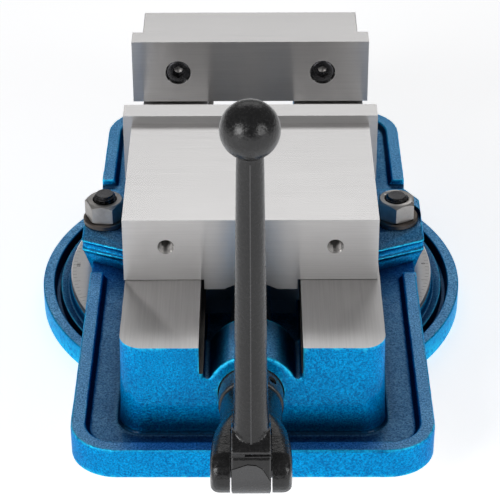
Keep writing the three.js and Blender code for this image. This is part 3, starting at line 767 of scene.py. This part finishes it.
def vise_body():
    """The cast body, grown from its parts, then milled where the real one is machined."""
    front_corner, rear_corner = 28, 34
    rear = FLANGE_REAR - 0.9
    corners = (front_corner, front_corner, rear_corner, rear_corner)
    flange = rounded(-FLANGE_HALF, FLANGE_HALF, FLANGE_FRONT, rear, corners, 12)
    solids = [prism(flange, UNDERSIDE - 3, GUTTER)]
    # The rim stops beside the lugs, and at a notch behind the channel, where chips fall out.
    for end, corner, y_stop in ((FLANGE_FRONT, front_corner, -40), (rear, rear_corner, 79)):
        for side in (-1, 1):
            outer = rim_line(side, end, corner, 0, y_stop)
            inner = rim_line(side, end, corner, RIM_WIDTH, y_stop)
            solids.append(strip(outer, inner, GUTTER - 4, RIM_TOP, 4.6))
    for side in (-1, 1):
        solids += rail(side)
    solids += front_wall()
    ears = lug(-1) + lug(1)
    # The casting came out of its mould a little to one side of the machined faces.
    for bm in solids + ears:
        moved(bm, (1.5, 0, 0), -0.186)
    obj = cast("vise_body_casting", solids, [BLUE, GROUND_BED, SHADED_IRON], 1.05, 2, 0.25, 0.42)
    combine(obj, cast("lugs", ears, [BLUE], 0.75, 2, 0.2), "UNION")

    everything = ((-200, 200), (-300, 300))
    bore_front, bore_rear = WALL_FRONT - 5, WALL_REAR + 5
    undercut = 78.6
    milled = []
    tools = [
        cuboid(*everything, (BED_TOP, BED_TOP + 30)),
        cuboid(*everything, (UNDERSIDE - 30, UNDERSIDE)),
        cylinder(12.5, bore_front, bore_rear, "y", (0, SCREW_Z), 64),
        cylinder(19, bore_front, WALL_FRONT + 12, "y", (0, SCREW_Z), 96),
        cylinder(22.3, WALL_REAR - 12.7, bore_rear, "y", (0, SCREW_Z), 96),
        cylinder(12.3, UNDERSIDE - 5, GUTTER - 4),
    ]
    jaw_low, jaw_high = span("fixed_jaw")
    jaw_y = (jaw_low.y + jaw_high.y) / 2
    key_low, key_high = span("fixed_jaw_key_right")
    for side in (-1, 1):
        inner = sorted((side * 24, side * RAIL_IN))
        milled.append(cuboid(inner, (bore_front, RAIL_REAR + 9), (undercut, BED_TOP + 5)))
        tools.append(cylinder(7.9, UNDERSIDE - 5, 70, at=(side * BOLT_X, 0)))
        tools.append(cylinder(6.6, UNDERSIDE - 5, BED_TOP + 5, at=(side * 60, jaw_y)))
        tools.append(cylinder(9.6, UNDERSIDE - 5, 68, at=(side * 60, jaw_y)))
        key_x = sorted((side * (key_low.x - 0.3), side * (key_high.x + 0.3)))
        key_y = (key_low.y - 0.3, key_high.y + 0.3)
        tools.append(cuboid(key_x, key_y, (key_low.z - 0.3, BED_TOP + 5)))
    as_cast = [cylinder(16.4, LUG_SEAT, 70, at=(side * BOLT_X, 0), steps=72) for side in (-1, 1)]
    notch_z = (UNDERSIDE - 5, RIM_TOP + 5)
    as_cast.append(cuboid((-RAIL_IN, RAIL_IN), (RAIL_REAR, FLANGE_REAR + 5), notch_z))
    boolean(obj, as_cast, index=0)
    boolean(obj, milled, index=2)
    boolean(obj, tools, index=1)
    settle(obj, "body", "blue_enamel", "vise_body", sharp=50)


# ---- Jaws ----------------------------------------------------------------------------------------

def jaw_plate(name, node, body, face):
    """A hardened plate with two counterbored holes; face is the side its screw heads are on."""
    low, high = span(node)
    obj = make(name, cuboid(*zip(low, high)), [GROUND_JAW, BLACKENED])
    front = low.y if face < 0 else high.y
    tools = []
    for side in (-1, 1):
        at = (side * 49, PLATE_SCREW_Z)
        tools.append(cylinder(5.4, low.y - 1, high.y + 1, "y", at))
        tools.append(cylinder(8.6, *sorted((front + face, front - face * 10.6)), "y", at, 72))
    boolean(obj, tools)
    bevel(obj, 0.45)
    settle(obj, body, "ground_steel", node)


def fixed_jaw():
    obj = make("fixed_jaw_block", cuboid(*zip(*span("fixed_jaw"))), [GROUND_JAW])
    bevel(obj, 0.7, 3)
    settle(obj, "body", "ground_steel", "fixed_jaw")
    jaw_plate("fixed_plate", "fixed_jaw_plate", "body", -1)


def movable_jaw():
    """The block on the rails, and its arched keel that reaches down to the nut between them."""
    low, high = span("movable_jaw")
    seat = BED_TOP + 0.2
    front = low.y
    block = cuboid((low.x, high.x), (front, high.y), (seat, high.z))
    obj = make("movable_jaw_block", block, [GROUND_JAW, IRON, NUT_STEEL])
    keel = 27.4
    foot = 89.5
    arch_radius = 29
    half_arch = math.degrees(math.acos((foot - SCREW_Z) / arch_radius))
    feet = [(-keel, seat + 1), (-keel, foot)]
    feet += arc(0, SCREW_Z, arch_radius, 90 + half_arch, 90 - half_arch, 24)
    feet += [(keel, foot), (keel, seat + 1)]
    nut_housing = cuboid((-keel, keel), (-91.5, -20), (low.z, seat + 1))
    boolean(obj, [prism(feet, front, -90, "y"), nut_housing], "UNION")
    pocket = [(-92, low.z - 1), (-67, low.z - 1), (-67, 89.4), (-41.4, 115), (-92, 115)]
    lock_screw_hole = cylinder(4.3, front - 1, -88, "y", (0, 104))
    boolean(obj, [prism(pocket, -19.5, 19.5, "x"), lock_screw_hole])
    bevel(obj, 0.5)
    holes = []
    for side in (-1, 1):
        at = (side * 49.4, 0, PLATE_SCREW_Z)
        turns = laid_down(thread(4.7, 0.75, 1.5, front - 4, front + 22, steps=40, per_turn=10))
        outside, inside = front - 0.5, front + 0.6
        mouth = lathe([(0, outside), (5.3, outside), (4.2, inside), (0, inside)], "y", steps=48)
        holes += [moved(turns, at), moved(mouth, at)]
    boolean(obj, holes, index=2)
    settle(obj, "jaw", "ground_steel", "movable_jaw")
    jaw_plate("movable_plate", "movable_jaw_plate", "jaw", 1)


# ---- Fasteners -----------------------------------------------------------------------------------

def socket_screw(size, node, body, axis, face):
    """A socket head cap screw along an axis; face is the way its head points."""
    low, high = span(node)
    centre = (low + high) / 2
    along = "xyz".index(axis)
    head, tip = (high, low) if face > 0 else (low, high)
    head, tip = head[along], tip[along]
    radius, shank, height = (8, 5, 9.6) if size == "m10" else (9, 6, 12)
    profile = [
        (0, tip), (shank - 1, tip), (shank, tip + face), (shank, head - face * height),
        (radius, head - face * height), (radius, head - face * 0.9),
        (radius - 0.3, head - face * 0.4), (radius - 1.3, head), (0, head),
    ]
    obj = make(f"{node}_{size}", lathe(profile, axis), [BLACKENED, NUT_STEEL])
    depth = sorted((head + face, head - face * height * 0.55))
    boolean(obj, [prism(hexagon(shank * 1.55, 30), *depth, axis)])
    floor = head - face * height * 0.5
    drilled = [(0, floor), (shank * 0.6, floor), (shank * 0.6, floor - face * 0.8)]
    drilled += [(0, floor - face * 2.2)]
    boolean(obj, [lathe(drilled, axis)], index=1)
    bevel(obj, 0.18, 2, 50)
    centre[along] = 0
    shift(obj, *centre)
    settle(obj, body, "blackened_steel", node)


def screws():
    for label in ("left", "right"):
        socket_screw("m10", f"fixed_plate_screw_{label}", "body", "y", -1)
        socket_screw("m10", f"movable_plate_screw_{label}", "jaw", "y", 1)
        socket_screw("m12", f"fixed_jaw_bolt_{label}", "body", "z", -1)


def clamp_bolt(label, side):
    node = f"t_bolt_{label}"
    low, high = span(node)
    head_top = 13.5
    thread_start = 50
    obj = make(node + "_m14", cuboid((-12, 12), (-12, 12), (low.z, head_top)), [BLACKENED])
    bevel(obj, 1.0, 3)
    plain = [(0, head_top - 1), (7, head_top - 1), (7, thread_start)]
    plain += [(6.2, thread_start + 1), (0, thread_start + 1)]
    spiral = thread(6.95, 1.1, 2, thread_start, high.z, steps=64)
    boolean(obj, [lathe(plain), spiral], "UNION")
    shift(obj, side * BOLT_X, 0, 0)
    settle(obj, "body", "blackened_steel", node, sharp=30)


# How far each nut is turned, as it was left after tightening, in degrees.
NUT_TURN = {"left": -6, "right": 87}


def clamp_nut(label, side):
    node = f"clamp_nut_{label}"
    low, high = span(node)
    flats = min(high.x - low.x, high.y - low.y)
    height = high.z - low.z
    corner = flats / math.sqrt(3)
    obj = make(node + "_m14", prism(hexagon(flats, NUT_TURN[label]), 0, height), [NUT_STEEL])
    crown = [(0, 0), (corner - 1.2, 0), (corner + 0.3, 0.9), (corner + 0.3, height - 2.2)]
    crown += [(flats / 2 - 0.6, height), (0, height)]
    boolean(obj, [lathe(crown, steps=96)], "INTERSECT")
    hole = [(0, -1), (8.6, -1), (7.3, 1.2), (7.3, height - 1.2), (8.6, height + 1), (0, height + 1)]
    boolean(obj, [lathe(hole)])
    bevel(obj, 0.22, 2, 25)
    shift(obj, side * BOLT_X, 0, low.z)
    settle(obj, f"nut_{label}", "nut_steel", node)


def clamp_washer(label, side):
    node = f"clamp_washer_{label}"
    low, high = span(node)
    inner, outer = 7.4, (high.x - low.x) / 2
    profile = [(inner, low.z), (outer - 0.5, low.z), (outer, low.z + 0.5)]
    profile += [(outer, high.z - 0.7), (outer - 0.6, high.z), (inner, high.z)]
    obj = make(node + "_m14", lathe(profile, closed=True, steps=72), [WASHER_STEEL])
    shift(obj, side * BOLT_X, 0, 0)
    settle(obj, "body", "blackened_steel", node)


# ---- Screw line ----------------------------------------------------------------------------------

def lead_screw():
    """The screw: a plain front end with a collar behind the wall, then a left-hand thread."""
    low, high = span("lead_screw")
    neck_end = WALL_FRONT - 13
    collar_front = WALL_FRONT + 37.2
    collar_rear = collar_front + 9
    start = collar_rear + 7
    shaft = [
        (0, low.y), (8, low.y), (9, low.y + 1), (9, neck_end), (SCREW_RADIUS, neck_end),
        (SCREW_RADIUS, collar_front), (18.4, collar_front), (19, collar_front + 0.6),
        (19, collar_rear - 0.6), (18.4, collar_rear), (9.4, collar_rear), (9.4, start + 2),
        (0, start + 2),
    ]
    obj = make("lead_screw_shaft", lathe(shaft, "y"), [IRON])
    clip_low, clip_high = span("screw_end_clip")
    end = clip_low.y - 0.2
    rim = clip_high.y + 0.2
    spiral = laid_down(thread(11.95, 2.6, PITCH, start, end, -1, 56, 0.24, 12))
    tail = lathe([
        (0, end - 1), (9.3, end - 1), (10.6, end), (10.6, rim), (11.9, rim),
        (11.9, high.y - 1.5), (10.4, high.y), (0, high.y),
    ], "y")
    boolean(obj, [spiral, tail], "UNION")
    shift(obj, 0, 0, SCREW_Z)
    settle(obj, "screw", "bright_steel", "lead_screw")


def thrust_collar():
    low, high = span("thrust_collar")
    bore, outer = 12.3, (high.x - low.x) / 2
    profile = [(bore, low.y), (outer - 1.6, low.y)]
    profile += arc(outer - 1.4, low.y + 1.4, 1.4, -80, 0, 5)
    profile += [(outer, high.y - 0.5), (outer - 0.5, high.y), (bore, high.y)]
    obj = make("thrust_collar_ring", lathe(profile, "y", closed=True, steps=96), [BLACK])
    hole = moved(cylinder(2.8, 10, 30, "z"), turn=42, axis="Y")
    boolean(obj, [moved(hole, (0, WALL_FRONT - 6.5, 0))])
    shift(obj, 0, 0, SCREW_Z)
    settle(obj, "screw", "black_enamel", "thrust_collar")


def crank_hub():
    """The crank's hub: a round neck that widens into a fork with round ears."""
    rear = WALL_FRONT - 13.9
    shoulder = WALL_FRONT - 32
    neck = 17.4
    half = 21.9
    neck_outline = [(0, shoulder - 12), (neck - 1.4, shoulder - 12), (neck, shoulder - 2)]
    neck_outline += [(neck, rear + 0.2), (0, rear + 0.2)]
    neck_form = moved(lathe(neck_outline, "y"), (0, 0, SCREW_Z))
    # Cross sections from the shoulder to the tip: place, half width, half height, corner radius.
    sections = [
        (shoulder + 3, 13.0, 13.8, 12.5), (shoulder - 3, 15.4, 15.2, 12),
        (shoulder - 8, 17.6, 15.6, 11), (shoulder - 13, 19.4, 15.4, 10),
        (shoulder - 18, 20.6, 15.0, 9), (shoulder - 25, 21.4, 14.4, 8),
        (PIN_Y + 4, half, 13.5, 7), (PIN_Y - 3, half + 0.2, 12.8, 6),
        (PIN_Y - 7, half, 11.0, 5), (PIN_Y - 10, half - 0.5, 8.4, 4.2),
        (PIN_Y - 12, half - 1.6, 5.2, 3.4), (PIN_Y - 13, half - 3.2, 2.2, 2.0),
    ]
    layers = []
    for y, w, h, r in sections:
        layers.append((rounded(-w, w, SCREW_Z - h, SCREW_Z + h, (r, r, r, r)), y))
    obj = cast("crank_hub_casting", [neck_form, loft(layers, "y")], [BLACK, BLACKENED], 0.7, 3)
    slot_half, slot_bottom = 11.35, WALL_FRONT - 52.7
    height = (SCREW_Z - 30, SCREW_Z + 30)
    boolean(obj, [
        cuboid((-slot_half, slot_half), (PIN_Y - 30, slot_bottom), height),
        cylinder(PIVOT_BORE, -30, 30, "x", (PIN_Y, SCREW_Z), 64),
        cylinder(9.3, WALL_FRONT - 46.1, rear + 2, "y", (0, SCREW_Z), 64),
        cylinder(3.3, SCREW_Z, SCREW_Z + 25, at=(0, WALL_FRONT - 23), steps=32),
        cuboid((-40, 40), (rear, rear + 20), height),
    ])
    settle(obj, "screw", "black_enamel", "crank_hub", sharp=50)


# ---- Crank arm -----------------------------------------------------------------------------------

def ball_place():
    """The ball's radius, and the height of its centre."""
    low, high = span("ball_knob")
    radius = (high.x - low.x) / 2
    return radius, high.z - radius


def ball_form(radius):
    bm = bmesh.new()
    bmesh.ops.create_icosphere(bm, subdivisions=5, radius=radius)
    return bm


def arm_pad(eye_radius, eye_half):
    """The arched pad that stands proud of the eye's front."""
    arch = [(-10.2, -10), (10.2, -10), (10.2, 1.5), (6.2, 9.3), (2.6, 12), (-2, 12.5), (-10.2, 9.2)]
    pad = make("pad", prism(arch, -20, -6, "y"), [BLACK])
    proud = eye_radius + 0.4
    front = arc(0, 0, proud, 180, 300, 24) + [(0, 16), (-proud, 16)]
    boolean(pad, [prism(front, -eye_half, eye_half, "x")], "INTERSECT")
    bevel(pad, 0.12, 2, 30)
    bm = bmesh.new()
    bm.from_mesh(pad.data)
    bmesh.ops.scale(bm, vec=(1 / MM, 1 / MM, 1 / MM), verts=bm.verts)
    bpy.data.objects.remove(pad)
    return bm


def handle_arm():
    """The arm: a tapered round bar on a flat eye, with a ledge across it and a pad below."""
    top = span("handle_arm")[1].z - SCREW_Z
    ball_radius, ball_z = ball_place()
    ball = ball_z - SCREW_Z
    tip = 6.8
    seat = ball - math.sqrt(ball_radius ** 2 - tip ** 2) - 0.25
    shaft = [
        (0, 6), (8.6, 6), (9.8, 14), (10.05, 19), (9.8, 28), (9.3, 38), (8.95, 52), (8.6, 66),
        (7.8, 127), (7.0, 186), (tip, seat - 1), (tip, seat + 0.8), (0, seat + 0.8),
    ]
    eye_radius = 13
    eye_half = 10.6
    eye = arc(0, 0, eye_radius, 180, 360, 24)
    eye += [(15.3, 0.5), (15.3, 9), (11.5, 19), (9.5, 27.5), (-6.2, 27.5), (-8.2, 25.6)]
    eye += [(-11.6, 22.8), (-13.3, 20.9), (-13.3, 19.8), (-12, 18.9), (-11.7, 16.8)]
    eye += [(-12.6, 15.2), (-12.9, 12)]
    solids = [lathe(shaft), prism(eye, -eye_half, eye_half, "x")]
    obj = cast("handle_arm_casting", solids, [BLACK, BLACKENED], 0.6, 2)
    # The mould's parting line shows as a thin seam down the front.
    seam = []
    for z, r in ((20, 10.05), (28, 9.8), (66, 8.6), (127, 7.8), (seat - 2, 6.85)):
        seam.append(([(-0.3, -r - 0.18), (0.3, -r - 0.18), (0.4, -r + 1), (-0.4, -r + 1)], z))
    boolean(obj, [loft(seam), arm_pad(eye_radius, eye_half)], "UNION")
    undercut = cuboid((-3.4, eye_half + 1), (-15, -10.9), (16.9, 18.7))
    hole = cylinder(PIVOT_BORE, -30, 30, "x", steps=64)
    hollow = moved(ball_form(ball_radius + 0.25), (0, 0, ball))
    boolean(obj, [hole, undercut, hollow])
    tang = [(0, ball - 16), (5, ball - 16), (5, top), (0, top)]
    boolean(obj, [lathe(tang)], "UNION")
    shift(obj, 0, PIN_Y, SCREW_Z)
    settle(obj, "crank", "black_enamel", "handle_arm", sharp=50)


def ball_knob():
    radius, z = ball_place()
    obj = make("ball_knob_turned", ball_form(radius), [BLACK])
    boolean(obj, [cylinder(5.3, -radius - 1, -5.7)])
    shift(obj, 0, PIN_Y, z)
    settle(obj, "crank", "black_enamel", "ball_knob")


# ---- CAD pieces that keep their shape ------------------------------------------------------------

def carry_over():
    """Pieces inside the vise whose CAD shape is right: a finish of their own, softened edges."""
    finishes = {
        "pivot_pin": BRIGHT, "jaw_nut": IRON, "lock_segment": BRIGHT, "lock_set_screw": BLACKENED,
        "front_race": BRIGHT, "rear_race": BRIGHT, "thrust_cage": BRONZE, "collar_washer": BRONZE,
        "fixed_jaw_key_left": BRIGHT, "fixed_jaw_key_right": BRIGHT, "screw_end_clip": BLACKENED,
        "collar_set_screw": BLACKENED, "hub_set_screw": BLACKENED, "handle_pin": BLACKENED,
    }
    for name in frame["nodes"]:
        if name.startswith("bearing_ball"):
            finishes[name] = BRIGHT
    for name, material in finishes.items():
        obj = frame["nodes"][name]
        obj.data.materials.clear()
        obj.data.materials.append(material)
        edge = obj.modifiers.new("edge", "BEVEL")
        edge.width = 0.12 * MM
        edge.segments = 2
        edge.limit_method = "ANGLE"
        edge.angle_limit = math.radians(40)


# ---- Stage ---------------------------------------------------------------------------------------

def soft_light(name, place, aim, size, power):
    """A rectangular light at a place, in metres, turned towards its aim."""
    lamp = bpy.data.lights.new(name, "AREA")
    lamp.shape = "RECTANGLE"
    lamp.size, lamp.size_y = size
    lamp.energy = power
    obj = add_object(name, lamp)
    obj.location = place
    obj.rotation_euler = (Vector(aim) - Vector(place)).to_track_quat("-Z", "Y").to_euler()


def stage():
    """A white floor that glows a little, a pale sky, and three soft lights."""
    paint = Nodes("floor_paint")
    grain = paint.noise(3, 2, 0.5)
    tone = paint.ramp(grain, (0.3, 0.7), ((0.93, 0.93, 0.935), (0.95, 0.95, 0.955)))
    glow = {
        "Roughness": 0.7, "Specular IOR Level": 0.1,
        "Emission Color": (0.985, 0.99, 1, 1), "Emission Strength": 0.58,
    }
    bm = bmesh.new()
    bmesh.ops.create_grid(bm, x_segments=1, y_segments=1, size=12000)
    make("floor", bm, [paint.set(glow, Base_Color=tone)])

    world = bpy.data.worlds.new("studio")
    bpy.context.scene.world = world
    world.use_nodes = True
    background = world.node_tree.nodes["Background"]
    background.inputs["Color"].default_value = (1, 1, 1, 1)
    background.inputs["Strength"].default_value = 0.24

    soft_light("rear", (0, 5.2, 4.25), (0, -0.06, 0.14), (5.6, 2.2), 48)
    soft_light("left", (-1.3, -1.65, 0.91), (0, -0.27, 0.27), (0.8, 1.0), 20)
    soft_light("right", (1.4, -1.57, 0.87), (0, -0.27, 0.27), (0.7, 0.9), 11)


def camera():
    """The viewing angle: in front of the crank, about 32 degrees above the bench."""
    pitch, yaw, roll = (math.radians(a) for a in (-31.79, -0.08, -0.22))
    forward = Vector((
        math.sin(yaw) * math.cos(pitch), math.cos(yaw) * math.cos(pitch), math.sin(pitch),
    ))
    level = Vector((math.cos(yaw), -math.sin(yaw), 0))
    upward = level.cross(forward)
    right = level * math.cos(roll) + upward * math.sin(roll)
    up = upward * math.cos(roll) - level * math.sin(roll)
    data = bpy.data.cameras.new("camera")
    data.lens = 142.46
    data.sensor_width = 36
    data.clip_start = 0.01
    data.clip_end = 50
    obj = add_object("camera", data)
    rotation = Matrix((right, up, -forward)).transposed()
    obj.matrix_world = Matrix.Translation((0.00100, -1.11308, 0.72365)) @ rotation.to_4x4()
    bpy.context.scene.camera = obj


def main():
    camera()
    stage()
    swivel_base()
    dial()
    vise_body()
    fixed_jaw()
    movable_jaw()
    screws()
    for label, side in SIDES:
        clamp_bolt(label, side)
        clamp_nut(label, side)
        clamp_washer(label, side)
    lead_screw()
    thrust_collar()
    crank_hub()
    handle_arm()
    ball_knob()
    carry_over()
    bpy.context.scene.view_settings.view_transform = "Standard"
    bpy.context.view_layer.update()


main()
